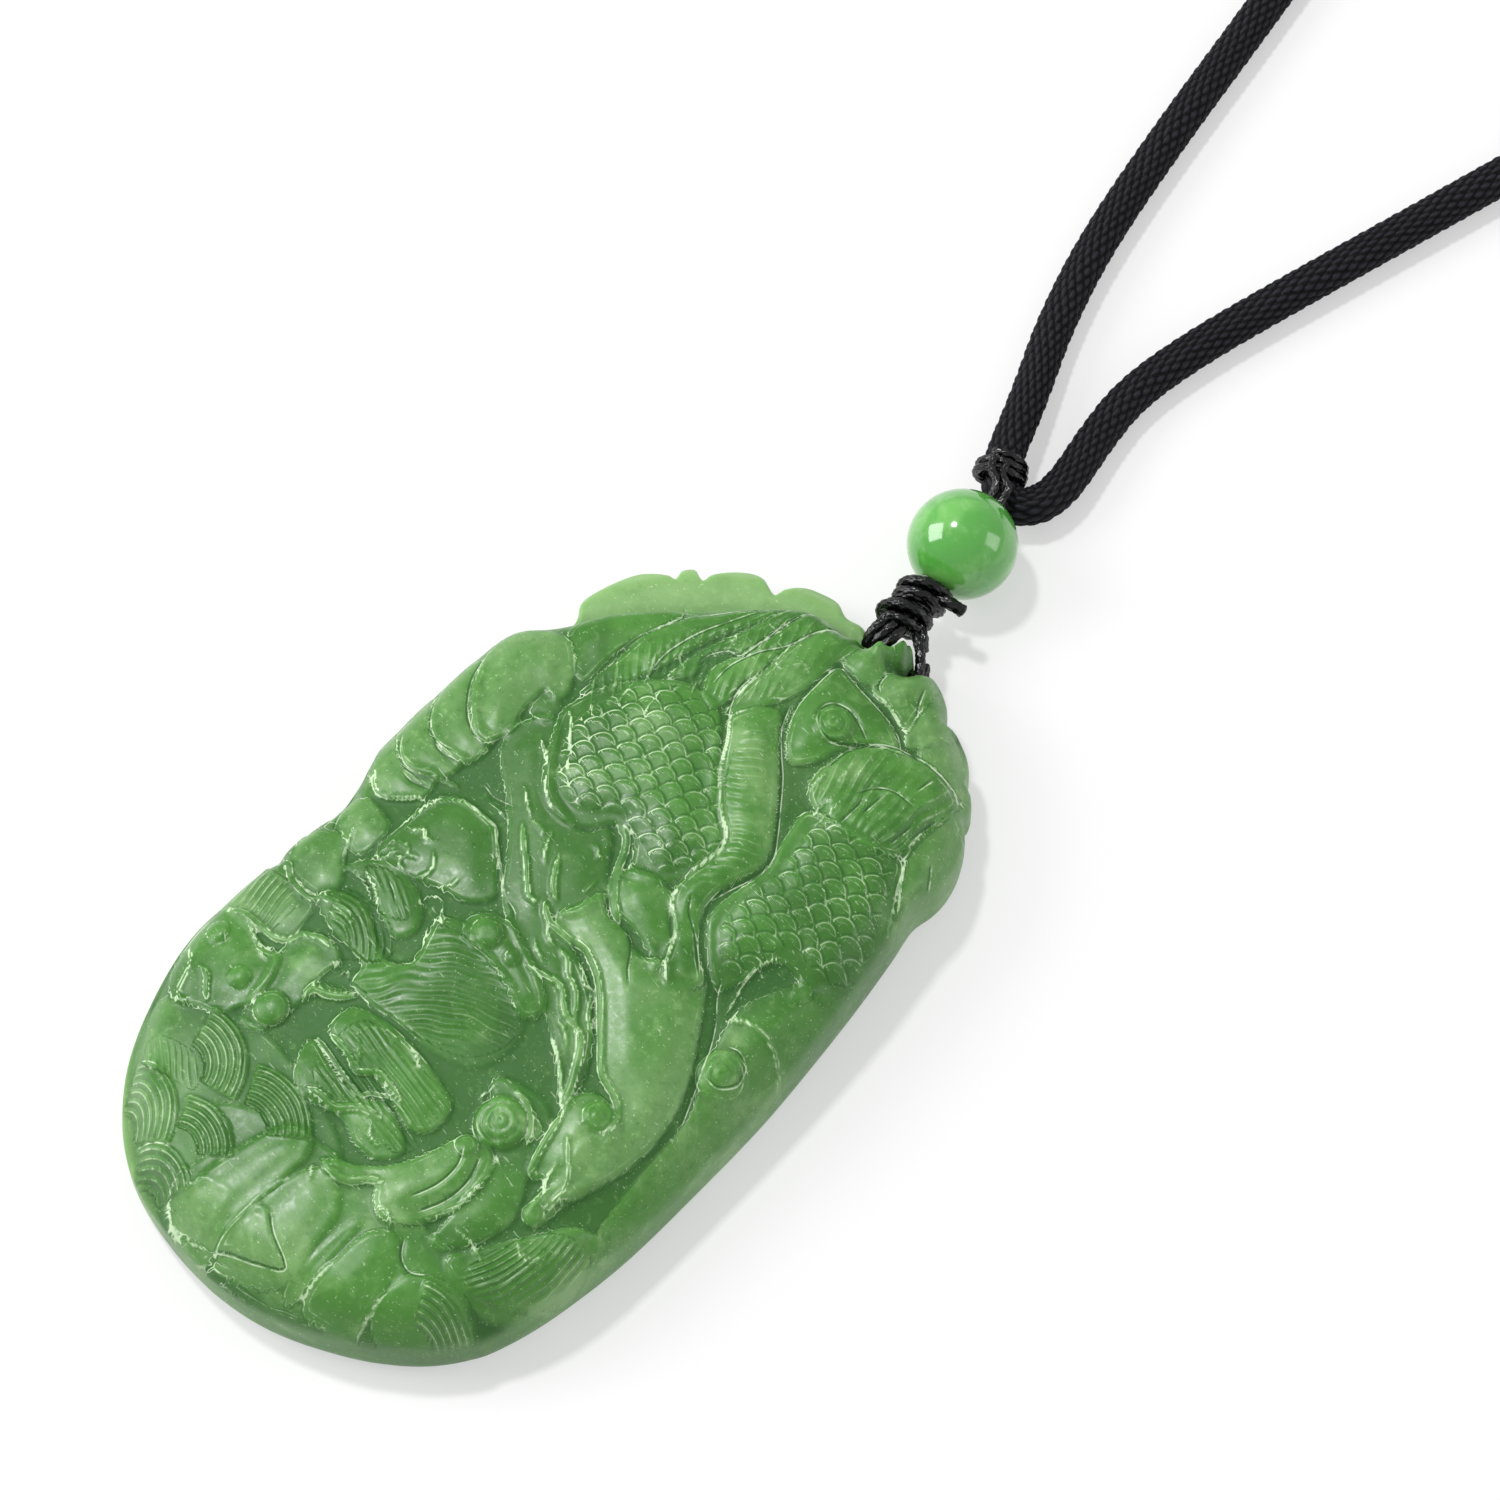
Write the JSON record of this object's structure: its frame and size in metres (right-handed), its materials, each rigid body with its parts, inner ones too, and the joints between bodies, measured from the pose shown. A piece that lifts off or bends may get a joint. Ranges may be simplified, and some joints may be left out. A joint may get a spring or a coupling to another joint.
{
  "type": "jade bead necklace",
  "caption": "Carved green jade pendant with a round jade bead above it, hung on a folded black braided neck cord.",
  "frame": {"origin": "middle of the pendant's flat back", "axes": "+Z out of the carved face, +Y along the pendant towards the bead and the neck, +X to the right of the carved face"},
  "size_m": [0.038, 0.2863, 0.0103],
  "materials": {
    "jade": "polished opaque jade",
    "bead_jade": "polished opaque jade",
    "thread": "glossy waxed thread",
    "braid": "matte braided cord",
    "sleeve": "thread wound tight over the cord ends"
  },
  "bodies": {
    "root": {"pendant": "jade", "bead": "bead_jade", "wrap_knot": "thread", "pendant_thread": "thread", "bead_thread": "thread", "left_cord": "braid", "right_cord": "braid", "closure": "sleeve"}
  },
  "joints": []
}
